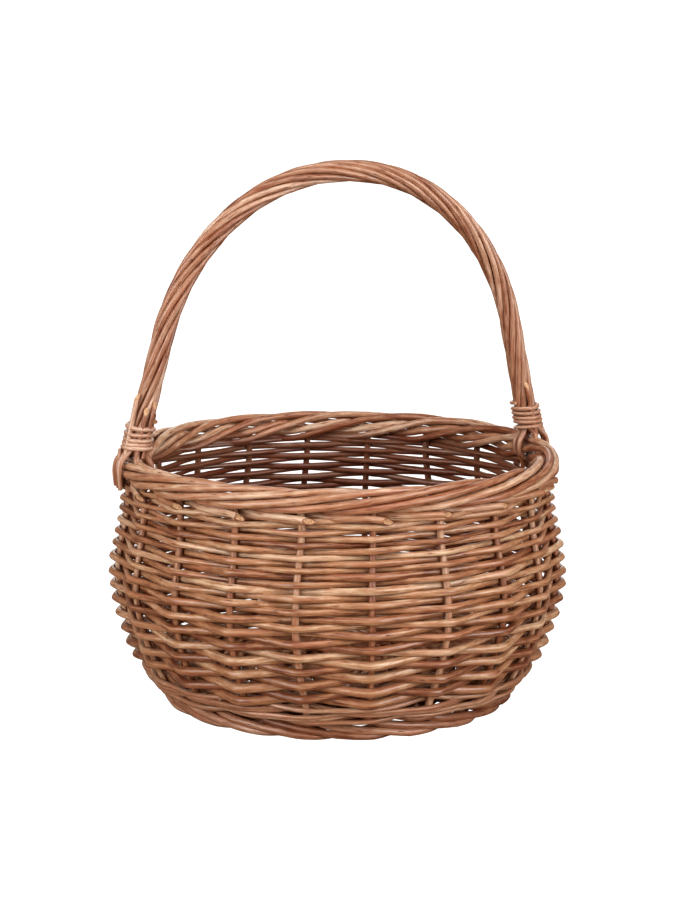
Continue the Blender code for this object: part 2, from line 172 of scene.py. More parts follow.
def beside_rib(height, angle, offset):
    """A point on a rib's level, moved square to the rib; outwards is positive."""
    slope = rib_slope(height)
    length = math.hypot(1.0, slope)
    return polar(rib_radius(height) + offset / length, angle, height - offset * slope / length)


def stake_angle(number, height):
    """Where a stake stands at a height: each leans a little its own way below the neck."""
    rng = random.Random(100 + number % STAKES)
    lean = rng.uniform(-0.022, 0.022)
    share = max(0.0, min((NECK_HEIGHT - height) / NECK_HEIGHT, 0.8))
    return FIRST_STAKE + number * SPACING + lean * math.sin(math.pi * share / 0.8)


def base_height(radius):
    return BASE_EDGE_HEIGHT + BASE_DOME * (1 - min(radius / BASE_RADIUS, 1.0) ** 2)


def smooth(stations, spacing):
    """A smooth line through stations of place and thickness, with a point every spacing."""
    ends = [stations[0]] + list(stations) + [stations[-1]]
    line = []
    for (before, _), (start, thick), (end, thin), (after, _) in zip(ends, ends[1:], ends[2:],
                                                                   ends[3:]):
        count = max(1, round((end - start).length / spacing))
        for step in range(count):
            t = step / count
            place = 0.5 * (2 * start + (end - before) * t
                           + (2 * before - 5 * start + 4 * end - after) * t ** 2
                           + (3 * start - before - 3 * end + after) * t ** 3)
            line.append((place, mix(thick, thin, t)))
    line.append(stations[-1])
    return line


def choose(piece):
    bpy.ops.object.select_all(action="DESELECT")
    piece.select_set(True)
    bpy.context.view_layer.objects.active = piece


def lay_tube(line, rng, sides):
    """A tube along places and thicknesses, a little thicker at its buds; also its length."""
    curve = bpy.data.curves.new("rod", "CURVE")
    curve.dimensions = "3D"
    curve.bevel_depth = 0.001
    curve.bevel_resolution = sides // 2 - 2
    curve.use_fill_caps = True
    spline = curve.splines.new("POLY")
    spline.points.add(len(line) - 1)
    spline.use_smooth = True
    length, bud = 0.0, rng.uniform(0.01, 0.06)
    for index, (place, thickness) in enumerate(line):
        if index:
            length += (place - line[index - 1][0]).length
        if length > bud:
            thickness *= rng.uniform(1.04, 1.10)
            bud = length + rng.uniform(0.03, 0.07)
        spline.points[index].co = (*place, 1.0)
        spline.points[index].radius = thickness / 2 * 1000   # in bevel depths
    rod = bpy.data.objects.new("rod", curve)
    bpy.context.scene.collection.objects.link(rod)
    choose(rod)
    bpy.ops.object.convert(target="MESH")
    return rod, length


def slant_end(mesh, line, end, facing):
    """Slant the cut at one end of a rod, 0 or -1, so that it faces a direction."""
    place, thickness = line[end]
    along = (place - line[1 if end == 0 else -2][0]).normalized()
    across = (facing - along * facing.dot(along)).normalized()
    for vertex in mesh.vertices:
        offset = vertex.co - place
        if offset.length < thickness and abs(offset.dot(along)) < thickness * 0.15:
            vertex.co -= along * CUT_SLANT * offset.dot(across)


def leave_bark(mesh, rim):
    """Step the wood of the cut ends in by the bark's width. Starts and ends in edit mode."""
    bpy.ops.mesh.select_all(action="DESELECT")
    bpy.ops.object.mode_set(mode="OBJECT")
    for face in mesh.polygons:
        face.select = face.material_index == WOOD
    bpy.ops.object.mode_set(mode="EDIT")
    bpy.ops.mesh.inset(thickness=rim, depth=-rim * 0.6)
    bpy.ops.object.mode_set(mode="OBJECT")
    for face in mesh.polygons:
        if face.material_index == WOOD and not face.select:
            face.material_index = BARK
    bpy.ops.object.mode_set(mode="EDIT")


def bend_rod(line, seed, cut_start=None, cut_end=None, sides=10, rim=0.0):
    """A willow rod along a line of places and thicknesses.

    cut_start and cut_end are directions that the slanted cuts of its ends face; the mesh
    keeps the distance along the rod, in centimetres, in its UV map, and a tone of its own.
    rim is the width of the bark around its cut ends.
    """
    rng = random.Random(seed)
    rod, length = lay_tube(line, rng, sides)
    mesh = rod.data
    caps = 2 * (sides - 2)      # the two ends' triangles, which come first
    for face in list(mesh.polygons)[:caps]:
        face.material_index = WOOD
    start = rng.uniform(0.0, 300.0)
    for loop in mesh.uv_layers[0].data:
        loop.uv.x = start + loop.uv.x * length * 100
    tones = mesh.attributes.new("tone", "FLOAT", "FACE")
    tone = rng.random()
    for item in tones.data:
        item.value = tone
    for end, facing in ((0, cut_start), (-1, cut_end)):
        if facing is not None:
            slant_end(mesh, line, end, facing)
    bpy.ops.object.mode_set(mode="EDIT")
    bpy.ops.mesh.select_all(action="SELECT")
    bpy.ops.mesh.remove_doubles(threshold=0.000001)
    if rim:
        leave_bark(mesh, rim)
    bpy.ops.object.mode_set(mode="OBJECT")
    bpy.ops.object.shade_smooth_by_angle(angle=math.radians(50))
    return rod


def finish_piece(name, rods, skin, slot, *nodes):
    """Join rods into one piece that stands for nodes of the frame."""
    bpy.ops.object.select_all(action="DESELECT")
    for rod in rods:
        rod.data.materials.append(skin)
        rod.data.materials.append(cut_wood)
        rod.data.materials.append(cut_rim)
        rod.select_set(True)
    bpy.context.view_layer.objects.active = rods[0]
    if len(rods) > 1:
        bpy.ops.object.join()
    piece = rods[0]
    piece.name = name
    piece.data.name = name
    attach(piece, "root")
    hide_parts(*nodes)
    return piece


# --- willow -----------------------------------------------------------------------------------
def srgb(red, green, blue):
    """Linear colour from red, green and blue between 0 and 255."""
    channels = []
    for value in (red, green, blue):
        value /= 255
        channels.append(value / 12.92 if value <= 0.04045 else ((value + 0.055) / 1.055) ** 2.4)
    return (*channels, 1.0)


def make_skin_group():
    """Colour, roughness and relief of a buff willow rod, from its UV map and its tone."""
    group = bpy.data.node_groups.new("WillowSkin", "ShaderNodeTree")
    sockets = group.interface
    for name in ("Dark", "Middle", "Pale"):
        sockets.new_socket(name, in_out="INPUT", socket_type="NodeSocketColor")
    for name in ("Streaks", "Scars", "InnerShade"):
        sockets.new_socket(name, in_out="INPUT", socket_type="NodeSocketFloat")
    sockets.new_socket("Colour", in_out="OUTPUT", socket_type="NodeSocketColor")
    sockets.new_socket("Roughness", in_out="OUTPUT", socket_type="NodeSocketFloat")
    sockets.new_socket("Height", in_out="OUTPUT", socket_type="NodeSocketFloat")
    nodes, links = group.nodes, group.links
    given = nodes.new("NodeGroupInput")
    result = nodes.new("NodeGroupOutput")

    def math_node(operation, first, second=None):
        node = nodes.new("ShaderNodeMath")
        node.operation = operation
        for index, value in enumerate((first, second)):
            if value is None:
                continue
            if isinstance(value, (int, float)):
                node.inputs[index].default_value = value
            else:
                links.new(value, node.inputs[index])
        return node.outputs[0]

    def fit(value, low, high, new_low, new_high):
        node = nodes.new("ShaderNodeMapRange")
        node.interpolation_type = "SMOOTHSTEP"
        for index, number in enumerate((low, high, new_low, new_high), start=1):
            node.inputs[index].default_value = number
        links.new(value, node.inputs[0])
        return node.outputs[0]

    def blend(share, first, second, way="MIX"):
        node = nodes.new("ShaderNodeMix")
        node.data_type = "RGBA"
        node.blend_type = way
        links.new(share, node.inputs[0])
        for socket, colour in ((node.inputs[6], first), (node.inputs[7], second)):
            if isinstance(colour, tuple):
                socket.default_value = colour
            else:
                links.new(colour, socket)
        return node.outputs[2]

    def stretched(scale):
        node = nodes.new("ShaderNodeMapping")
        node.inputs["Scale"].default_value = scale
        links.new(skin_place, node.inputs["Vector"])
        return node.outputs[0]

    def cloud(scale, detail, rough=0.5):
        node = nodes.new("ShaderNodeTexNoise")
        node.inputs["Scale"].default_value = 1.0
        node.inputs["Detail"].default_value = detail
        node.inputs["Roughness"].default_value = rough
        links.new(stretched(scale), node.inputs["Vector"])
        return node.outputs["Fac"]

    layout = nodes.new("ShaderNodeUVMap")
    layout.uv_map = "UVMap"
    split = nodes.new("ShaderNodeSeparateXYZ")
    links.new(layout.outputs[0], split.inputs[0])
    turn = math_node("MULTIPLY", split.outputs[1], 2 * math.pi)
    wrap = nodes.new("ShaderNodeCombineXYZ")
    links.new(split.outputs[0], wrap.inputs[0])
    links.new(math_node("COSINE", turn), wrap.inputs[1])
    links.new(math_node("SINE", turn), wrap.inputs[2])
    skin_place = wrap.outputs[0]

    tone = nodes.new("ShaderNodeAttribute")
    tone.attribute_name = "tone"
    drift = cloud((0.30, 0.45, 0.45), 2.0)
    blotch = cloud((1.3, 0.9, 0.9), 3.0, 0.6)
    grain = cloud((0.6, 2.4, 2.4), 2.0, 0.6)
    fine = cloud((5.0, 4.0, 4.0), 1.0)
    streak = math_node("MULTIPLY", math_node("SUBTRACT", grain, 0.5), given.outputs["Streaks"])
    shade = math_node("ADD", math_node("MULTIPLY", tone.outputs["Fac"], 0.50),
                      math_node("MULTIPLY", drift, 0.50))
    shade = math_node("ADD", shade, math_node("MULTIPLY", math_node("SUBTRACT", blotch, 0.5), 0.7))
    shade = math_node("ADD", shade, streak)
    colour = blend(fit(shade, 0.12, 0.52, 0.0, 1.0), given.outputs["Dark"], given.outputs["Middle"])
    colour = blend(fit(shade, 0.50, 0.88, 0.0, 1.0), colour, given.outputs["Pale"])
    blush = cloud((0.22, 0.5, 0.5), 2.0, 0.6)
    colour = blend(fit(blush, 0.50, 0.70, 0.0, 0.45), colour, srgb(176, 112, 82))

    cells = nodes.new("ShaderNodeTexVoronoi")
    cells.inputs["Scale"].default_value = 1.0
    links.new(stretched((0.62, 0.80, 0.80)), cells.inputs["Vector"])
    ragged = math_node("ADD", cells.outputs["Distance"],
                       math_node("MULTIPLY", math_node("SUBTRACT", fine, 0.5), 0.16))
    scar = math_node("MULTIPLY", fit(ragged, 0.05, 0.13, 0.9, 0.0), given.outputs["Scars"])
    halo = math_node("MULTIPLY", fit(ragged, 0.10, 0.32, 0.45, 0.0), given.outputs["Scars"])
    colour = blend(halo, colour, srgb(142, 80, 48))
    colour = blend(scar, colour, srgb(74, 36, 20))

    # Painted shade: below the border, the faces that look in towards the basket's middle are
    # darkened to a deep brown, standing in for the shade inside the basket.
    place = nodes.new("ShaderNodeTexCoord")
    flat = nodes.new("ShaderNodeVectorMath")
    flat.operation = "MULTIPLY"
    flat.inputs[1].default_value = (1.0, 1.0, 0.0)
    links.new(place.outputs["Object"], flat.inputs[0])
    outwards = nodes.new("ShaderNodeVectorMath")
    outwards.operation = "NORMALIZE"
    links.new(flat.outputs["Vector"], outwards.inputs[0])
    facing = nodes.new("ShaderNodeVectorMath")
    facing.operation = "DOT_PRODUCT"
    links.new(outwards.outputs["Vector"], facing.inputs[0])
    links.new(place.outputs["Normal"], facing.inputs[1])
    level = nodes.new("ShaderNodeSeparateXYZ")
    links.new(place.outputs["Object"], level.inputs[0])
    below = fit(level.outputs["Z"], 0.150, 0.160, 1.0, 0.0)
    inner_shade = math_node("MULTIPLY", fit(facing.outputs["Value"], -0.5, 0.1, 1.0, 0.0),
                      math_node("MULTIPLY", below, given.outputs["InnerShade"]))
    # The deep brown of the painted shade on the inward faces.
    colour = blend(inner_shade, colour, srgb(104, 46, 20))

    links.new(colour, result.inputs["Colour"])
    rough = math_node("ADD", fit(grain, 0.25, 0.75, 0.30, 0.50), math_node("MULTIPLY", scar, 0.2))
    links.new(rough, result.inputs["Roughness"])
    relief = math_node("ADD", math_node("MULTIPLY", grain, 0.5), math_node("MULTIPLY", fine, 0.08))
    relief = math_node("SUBTRACT", relief, math_node("MULTIPLY", scar, 0.9))
    links.new(relief, result.inputs["Height"])
    return group


def willow_skin(name, dark, middle, pale, streaks=1.05, scars=1.0, inner_shade=0.0, gloss=0.85):
    material = bpy.data.materials.new(name)
    material.use_nodes = True
    nodes, links = material.node_tree.nodes, material.node_tree.links
    shader = nodes["Principled BSDF"]
    shader.inputs["Specular IOR Level"].default_value = gloss
    skin = nodes.new("ShaderNodeGroup")
    skin.node_tree = skin_group
    for socket, colour in (("Dark", dark), ("Middle", middle), ("Pale", pale)):
        skin.inputs[socket].default_value = srgb(*colour)
    skin.inputs["Streaks"].default_value = streaks
    skin.inputs["Scars"].default_value = scars
    # Share of painted shade on the faces that look inwards.
    skin.inputs["InnerShade"].default_value = inner_shade
    bump = nodes.new("ShaderNodeBump")
    bump.inputs["Strength"].default_value = 0.55
    bump.inputs["Distance"].default_value = 0.0004
    links.new(skin.outputs["Height"], bump.inputs["Height"])
    links.new(skin.outputs["Colour"], shader.inputs["Base Color"])
    links.new(skin.outputs["Roughness"], shader.inputs["Roughness"])
    links.new(bump.outputs["Normal"], shader.inputs["Normal"])
    return material


def cut_end_material():
    """Pale wood of a cut end, a little darker in small random patches of dirt."""
    material = bpy.data.materials.new("cut_wood")
    material.use_nodes = True
    nodes, links = material.node_tree.nodes, material.node_tree.links
    shader = nodes["Principled BSDF"]
    place = nodes.new("ShaderNodeTexCoord")
    cloud = nodes.new("ShaderNodeTexNoise")
    cloud.inputs["Scale"].default_value = 900.0
    cloud.inputs["Detail"].default_value = 3.0
    ramp = nodes.new("ShaderNodeValToRGB")
    ramp.color_ramp.elements[0].position = 0.30
    ramp.color_ramp.elements[0].color = srgb(158, 112, 78)
    ramp.color_ramp.elements[1].position = 0.62
    ramp.color_ramp.elements[1].color = srgb(214, 176, 140)
    bump = nodes.new("ShaderNodeBump")
    bump.inputs["Distance"].default_value = 0.0002
    bump.inputs["Strength"].default_value = 0.4
    links.new(place.outputs["Object"], cloud.inputs["Vector"])
    links.new(cloud.outputs["Fac"], ramp.inputs["Fac"])
    links.new(cloud.outputs["Fac"], bump.inputs["Height"])
    links.new(ramp.outputs["Color"], shader.inputs["Base Color"])
    links.new(bump.outputs["Normal"], shader.inputs["Normal"])
    shader.inputs["Roughness"].default_value = 0.75
    return material


skin_group = make_skin_group()
cut_wood = cut_end_material()
cut_rim = willow_skin("cut_rim", (84, 42, 24), (112, 64, 40), (140, 88, 60), gloss=0.3)
stick_skin = willow_skin("stick_skin", (96, 54, 32), (134, 84, 54), (168, 118, 84), gloss=0.3)
base_skin = willow_skin("base_weaver_skin", (112, 64, 38), (150, 98, 66), (184, 134, 98))
# Stakes and weavers get painted shade on their inward faces, below the border.
stake_skin = willow_skin("stake_skin", (130, 70, 40), (177, 129, 98), (216, 186, 160),
                         inner_shade=0.75)
weaver_skin = willow_skin("weaver_skin", (114, 60, 32), (170, 122, 87), (210, 180, 150),
                          inner_shade=0.80)
wale_skin = willow_skin("wale_skin", (112, 62, 36), (156, 110, 81), (190, 154, 128))
foot_skin = willow_skin("foot_skin", (110, 58, 32), (154, 104, 76), (192, 152, 126))
strand_skin = willow_skin("strand_skin", (122, 66, 38), (172, 127, 101), (210, 180, 158))
lashing_skin = willow_skin("lashing_skin", (130, 74, 46), (176, 131, 106), (210, 178, 156),
                            scars=0.6)


# --- side: weavers and wale -------------------------------------------------------------------
def kinked(share):
    """How far out a weaver is between two stakes: 1 to -1, straight between soft bends."""
    sharpness = 0.95
    return math.asin(sharpness * math.cos(math.pi * share)) / math.asin(sharpness)


def weaver_line(chain, first, last, seed, size):
    """One weaver from step to step; it passes outside the stakes of odd steps."""
    shift = chain * (STAKES // 2 + 1)
    line = []
    for tick in range(round(first * WEAVER_POINTS), round(last * WEAVER_POINTS) + 1):
        step = tick / WEAVER_POINTS
        near = math.floor(step + 1e-9)
        share = step - near
        row = max(0.1 * chain + step * 2 / STAKES, 0.0)
        height = row_height(row) + wander(step * 0.55, seed, 0.0013)
        low = stake_angle(near + shift, height)
        high = stake_angle(near + 1 + shift, height)
        angle = mix(low, high, share)
        thickness = mix(WEAVER_LOW_D, WEAVER_TOP_D, row / ROWS) * size
        thickness *= mix(1.07, 0.86, (step - first) / (last - first))
        thickness *= 1.0 - 0.32 * share * (1 - share)
        side = kinked(share) * (1 if near % 2 else -1)
        offset = (thickness + STAKE_D) / 2 * PRESSED * side
        offset += wander(step * 0.9, seed + 50, 0.0003)
        beyond = max(first + TUCK_LENGTH - step, step - last + TUCK_LENGTH, 0.0)
        offset -= TUCK_DEPTH * (beyond / TUCK_LENGTH) ** 2
        chord = math.cos(SPACING / 2) / math.cos(SPACING * (share - 0.5))
        place = beside_rib(height, angle, offset)
        shrink = mix(1.0, chord, 0.85)
        line.append((Vector((place.x * shrink, place.y * shrink, place.z)), thickness))
    return line


def make_weavers():
    """Two chains of rods chase each other up the side; each stretch is two rods end to end."""
    for chain, letter in enumerate("ab"):
        for number in range(WEAVERS_PER_CHAIN):
            rods = []
            for half in range(2):
                first = number * STEPS_PER_WEAVER + half * STEPS_PER_WEAVER / 2
                seed = 1000 + chain * 100 + number * 10 + half
                rng = random.Random(seed)
                butt = rng.uniform(0.15, 0.40)
                tip = rng.uniform(0.15, 0.40)
                if number == 0 and half == 0:
                    butt = 0.0
                last = first + STEPS_PER_WEAVER / 2
                line = weaver_line(chain, round(first - butt, 1), round(last + tip, 1), seed,
                                   rng.uniform(0.93, 1.07))
                inwards = -line[0][0].normalized(), -line[-1][0].normalized()
                rods.append(bend_rod(line, seed, inwards[0], inwards[1]))
            finish_piece(f"willow_weaver_{letter}{number + 1}", rods, weaver_skin, "weaver",
                         f"weaver_{letter}{number + 1}")


def wale_side(spot):
    """How far out a wale rod is at a spot: in front of two stakes, then behind one."""
    around = spot % 3
    if around == 0:
        return -0.9
    return 0.35 if around in (0.5, 2.5) else 1.0


def wale_line(height, turn, first, seed):
    """A wale rod once around the side and on past its start, with both ends tucked in."""
    steps = STAKES + 1
    stations = []
    for tick in range(steps * 2 + 1):
        spot = first + tick / 2
        level = height + wander(spot * 0.6, seed, 0.0008)
        angle = stake_angle(0, level) + spot * SPACING
        tucked = 1.6 * max(0.0, 1 - min(tick, steps * 2 - tick) / 1.5)
        place = beside_rib(level, angle, (wale_side(spot + turn) - tucked) * (WALE_D + STAKE_D) / 2)
        if tick % 2:
            place = Vector((place.x * STRAIGHT_RUN, place.y * STRAIGHT_RUN, place.z))
        stations.append((place, WALE_D * mix(1.1, 0.9, tick / steps / 2)))
    return smooth(stations, 0.0045)


def make_wale():
    """Three pairs of rods around the bottom corner."""
    lowest = -WALE_BOTTOM_STEP - 0.0008
    for number in range(3):
        rods = []
        for twin in range(2):
            height = climb(FIRST_ROW_HEIGHT, number * WALE_PITCH + twin * 0.0019 + lowest)
            line = wale_line(height, number + twin, number + twin * 3, 70 + number + 3 * twin)
            rods.append(bend_rod(line, 700 + number + 10 * twin))
        finish_piece(f"willow_wale_{number + 1}", rods, wale_skin, "wale",
                     f"wale_rod_{number + 1}")


# --- stakes and border ------------------------------------------------------------------------
def make_stakes():
    """Each stake: beside its base stick, up the side as a rib, then rolled into the border."""
    for number in range(STAKES):
        rng = random.Random(300 + number)
        angle = FIRST_STAKE + number * SPACING
        side = 1 if number % 2 == 0 else -1
        stick_angle = angle - side * FIRST_STAKE
        beside = (STICK_D + FRAME_STAKE_D) / 2 + 2 * CLEARANCE
        size = STAKE_D * rng.uniform(0.96, 1.05)
        places = []
        for share in (0.0, 1 / 3, 2 / 3, 1.0):
            radius = mix(0.064, 0.1088, share)
            turn = mix(beside / 0.064, FIRST_STAKE, share)
            places.append(polar(radius, stick_angle + side * turn, base_height(radius)))
        places.append(polar(FOOT_RADIUS, angle, BASE_EDGE_HEIGHT + 0.0013))
        low, high = climb(FIRST_ROW_HEIGHT, -WALE_BOTTOM_STEP) - 0.002, BORDER_BASE - ROD_PITCH
        for level in range(14):
            height = mix(low, high, level / 13)
            places.append(polar(rib_radius(height), stake_angle(number, height), height))
        for along, out, up in BORDER_ROUTE:
            height = BORDER_BASE + up * ROD_PITCH + rng.uniform(-0.0003, 0.0003)
            radius = RIM_RADIUS + out * ROD_PITCH + rng.uniform(-0.0003, 0.0003)
            places.append(polar(radius, angle + along * SPACING, height))
        end = rng.uniform(0.05, 0.18)
        places.append(polar(RIM_RADIUS + (1.1 + end * 2.2) * ROD_PITCH, angle + (7 + end) * SPACING,
                            BORDER_BASE - (0.4 + end * 2.5) * ROD_PITCH))
        rib = len(places) - len(BORDER_ROUTE)
        stations = [(place, size * (1.0 if index < rib else mix(1.12, 0.98, (index - rib) / 18)))
                    for index, place in enumerate(places)]
        outwards = Vector((places[-1].x, places[-1].y, 0.0)).normalized()
        rod = bend_rod(smooth(stations, 0.0042), 300 + number, cut_end=outwards, sides=12,
                       rim=BARK_RIM)
        finish_piece(f"willow_stake_{number + 1:02d}", [rod], stake_skin, "stake",
                     f"stake_{number + 1:02d}")


# --- base and foot ----------------------------------------------------------------------------
def base_ray(radius, angle):
    return polar(radius, angle, base_height(radius))


def fanned_radii():
    return [mix(0.036, BASE_RADIUS, share) for share in (1.0, 0.55, 0.22, 0.0)]


def mirrored(half):
    """A list and its mirror image, with its last item once in the middle."""
    return half + list(reversed(half[:-1]))


def cut_slot(stick, middle):
    """Split a base stick in its middle, so that the thin sticks pass through it."""
    bpy.ops.mesh.primitive_cube_add(size=1.0, location=(0.0, 0.0, middle))
    slot = bpy.context.object
    slot.scale = (0.0124, 0.036, 0.0056)
    choose(stick)
    cut = stick.modifiers.new("slot", "BOOLEAN")
    cut.operation, cut.solver, cut.object = "DIFFERENCE", "EXACT", slot
    bpy.ops.object.modifier_apply(modifier="slot")
    bpy.data.objects.remove(slot, do_unlink=True)


def make_split_sticks():
    """Three split sticks side by side along X, their ends fanned out."""
    middle = base_height(0.0)
    for number, turn in enumerate((-1, 0, 1), start=1):
        fan, row = turn * SPACING * 2, turn * 0.0093
        half = [base_ray(radius, fan) for radius in fanned_radii()]
        half += [Vector((0.0175, row + turn * 0.0008, middle)), Vector((0.0115, row, middle))]
        places = half + [Vector((0.0, row, middle))]
        places += [Vector((-place.x, place.y, place.z)) for place in reversed(half)]
        widths = mirrored([0.8, 0.9, 1.0, 1.0, 1.05, 1.5, 1.5])
        stations = [(place, STICK_D * width) for place, width in zip(places, widths)]
        stick = bend_rod(smooth(stations, 0.005), 400 + number)
        cut_slot(stick, middle)
        finish_piece(f"willow_base_stick_{number}", [stick], stick_skin, "base_stick",
                     f"base_stick_{number}")


def make_thin_sticks():
    """Two thinner sticks along Y, through the slots of the split ones."""
    middle = base_height(0.0)
    for number, side in enumerate((-1, 1), start=4):
        fan = math.pi / 2 - side * SPACING
        offset = side * 0.00265
        half = [base_ray(radius, fan) for radius in fanned_radii()]
        half.append(Vector((offset * 1.15, 0.0144, middle)))
        places = half + [Vector((offset, 0.0, middle))]
        places += [Vector((place.x, -place.y, place.z)) for place in reversed(half)]
        widths = mirrored([0.9, 1.0, 1.1, 1.1, 1.0, 1.0])
        stations = [(place, THIN_STICK_D * width) for place, width in zip(places, widths)]
        stick = bend_rod(smooth(stations, 0.005), 400 + number)
        finish_piece(f"willow_base_stick_{number}", [stick], stick_skin, "base_stick",
                     f"base_stick_{number}")


def make_base_weavers():
    """Two rods chase each other outwards, over and under the fanned sticks."""
    for chain in range(2):
        start = 0.0240 + chain * BASE_WEAVER_PITCH
        turns = (0.1055 - start) / (2 * BASE_WEAVER_PITCH)
        stations = []
        for step in range(int(turns * STAKES) * 2 + 1):
            spot = step / 2
            radius = start + 2 * BASE_WEAVER_PITCH * spot / STAKES
            wave = math.sin(math.pi * ((spot + 1) / 2 + 0.25))
            lift = (STICK_D + BASE_WEAVER_D) / 2 * wave
            lift = max(-1.0, min(1.0, 1.4 * lift / 0.0052)) * 0.0050
            lift *= -1 if chain else 1
            angle = FIRST_STAKE + spot * SPACING
            height = base_height(radius) + lift + wander(spot * 0.7, chain + 90, 0.0004)
            stations.append((polar(radius, angle, height), BASE_WEAVER_D))
        rods = [bend_rod(smooth(stations, 0.005), 450 + chain, sides=8)]
        rods += corner_rods(chain)
        finish_piece(f"willow_base_weaver_{chain + 1}", rods, base_skin, "base_weaver",
                     f"base_weaver_{chain + 1}")


def corner_rods(chain):
    """The last rounds of the base, woven around the stakes where they turn up."""
    rods = []
    for number, (radius, height) in enumerate(((0.1125, 0.0150), (0.1162, 0.0156),
                                               (0.1198, 0.0163))):
        stations = []
        for tick in range(STAKES * 2 + 1):
            spot = tick / 2
            over = math.cos(math.pi * (spot + number + chain))
            angle = FIRST_STAKE + (spot + chain * 7 + number * 3) * SPACING
            lift = 0.0037 * over + wander(spot * 0.8, 30 + number + 3 * chain, 0.0006)
            stations.append((polar(radius, angle, height + lift), CORNER_ROD_D))
        rods.append(bend_rod(smooth(stations, 0.0045), 470 + number + 3 * chain, sides=8))
    return rods


def make_foot():
    """Twenty rods, each down from beside a stake, in front of the next two and behind a third."""
    route = (
        (-0.05, 0.1120, 0.0185), (0.05, 0.1140, 0.0145), (0.25, 0.1160, 0.0114),
        (0.6, 0.1168, 0.0090), (1.0, 0.1168, 0.0072), (1.4, 0.1168, 0.0052),
        (1.8, 0.1166, 0.0036), (2.15, 0.1154, 0.0030), (2.4, 0.1126, 0.0032),
        (2.7, 0.1104, 0.0044), (3.0, 0.1100, 0.0064), (3.3, 0.1094, 0.0080),
    )
    rods = []
    for number in range(STAKES):
        rng = random.Random(500 + number)
        size = FOOT_ROD_D * rng.uniform(0.95, 1.04)
        stations = []
        for along, radius, height in route:
            angle = FIRST_STAKE + (number + along) * SPACING
            height = max(height + rng.uniform(-0.0003, 0.0003), size / 2)
            thickness = size * mix(1.05, 0.82, along / route[-1][0])
            stations.append((polar(radius, angle, height), thickness))
        rods.append(bend_rod(smooth(stations, 0.0040), 500 + number))
    finish_piece("willow_foot", rods, foot_skin, "foot", "foot_ring")


# --- handle -----------------------------------------------------------------------------------
def handle_side(side):
    """The bow's centre line on one side, from the neck up to the top."""
    top = HANDLE_HEIGHT - ROPE_RADIUS
    neck = Vector((HANDLE_SPREAD, 0.0, NECK_LEVEL))
    leg = LEG_TOP_HEIGHT - NECK_LEVEL
    shoulder = Vector((HANDLE_SPREAD - leg * math.tan(LEG_LEAN), 0.0, LEG_TOP_HEIGHT))
    pull = Vector((-math.sin(LEG_LEAN), 0.0, math.cos(LEG_LEAN))) * ARCH_SIDE_PULL
    crown = Vector((0.0, 0.0, top))
    controls = (shoulder, shoulder + pull, crown + Vector((ARCH_TOP_PULL, 0.0, 0.0)), crown)
    line = [neck.lerp(shoulder, step / 20) for step in range(20)]
    for step in range(41):
        share = step / 40
        weights = ((1 - share) ** 3, 3 * share * (1 - share) ** 2,
                   3 * share ** 2 * (1 - share), share ** 3)
        line.append(sum((point * weight for point, weight in zip(controls, weights)), Vector()))
    for place in line:
        lean = HANDLE_LEAN * (place.z - NECK_LEVEL) / (top - NECK_LEVEL)
        place.x = side * place.x + lean
    return line


def handle_line(stations):
    """Evenly spaced places and directions along the whole bow, -X foot first."""
    path = handle_side(-1) + list(reversed(handle_side(1)))[1:]
    lengths = [0.0]
    for start, end in zip(path, path[1:]):
        lengths.append(lengths[-1] + (end - start).length)
    places, index = [], 0
    for station in range(stations + 1):
        wanted = lengths[-1] * station / stations
        while index < len(path) - 2 and lengths[index + 1] < wanted:
            index += 1
        share = (wanted - lengths[index]) / (lengths[index + 1] - lengths[index])
        places.append(path[index].lerp(path[index + 1], share))
    directions = []
    for station in range(stations + 1):
        before, after = places[max(station - 1, 0)], places[min(station + 1, stations)]
        directions.append((after - before).normalized())
    return places, directions


def make_handle_core():
    """The bow rod inside the rope, with a tongue down inside the wall at each side."""
    tongue = ((HANDLE_SPREAD, 0.1713, 0.0036), (0.1325, 0.1690, 0.0034), (0.1312, 0.1620, 0.0032),
              (0.1342, 0.1500, 0.0030), (0.1340, 0.1250, 0.0022))
    left, right = [], []
    for radius, height, thickness in tongue:
        left.insert(0, (Vector((-radius, 0.0, height)), thickness))
        right.append((Vector((radius, 0.0, height)), thickness))
    places, _ = handle_line(60)
    bow = [(place, HANDLE_CORE_D) for place in places]
    rod = bend_rod(smooth(left + bow + right, 0.006), 600)
    finish_piece("willow_handle_core", [rod], stick_skin, "handle_core", "handle_core")


def make_strands():
    """Eight strands roped round the core."""
    places, directions = handle_line(STRAND_POINTS)
    sideways = Vector((0.0, 1.0, 0.0))
    for number in range(STRANDS):
        rng = random.Random(620 + number)
        size = STRAND_D * rng.uniform(0.94, 1.05)
        taper = rng.choice((-1, 1)) * 0.08
        line = []
        for station, (place, along) in enumerate(zip(places, directions)):
            share = station / STRAND_POINTS
            turn = number / STRANDS + ROPE_TURNS * share
            turn = 2 * math.pi * turn + wander(share * 9, number + 20, 0.10)
            across = along.cross(sideways)
            thickness = size * (1 + taper * (share - 0.5))
            offset = ROPE_RADIUS - thickness / 2 + wander(share * 12, number + 40, 0.00035)
            place = place + offset * (math.cos(turn) * sideways + math.sin(turn) * across)
            line.append((place, thickness))
        foot, end = splayed_foot(line[0], -1), list(reversed(splayed_foot(line[-1], 1)))
        start = smooth(foot + line[:1], 0.003)
        rest = smooth(line[-1:] + end, 0.003)
        rod = bend_rod(start + line[1:-1] + rest, 620 + number, sides=12)
        finish_piece(f"willow_strand_{number + 1}", [rod], strand_skin, "handle_strand",
                     f"handle_strand_{number + 1}")


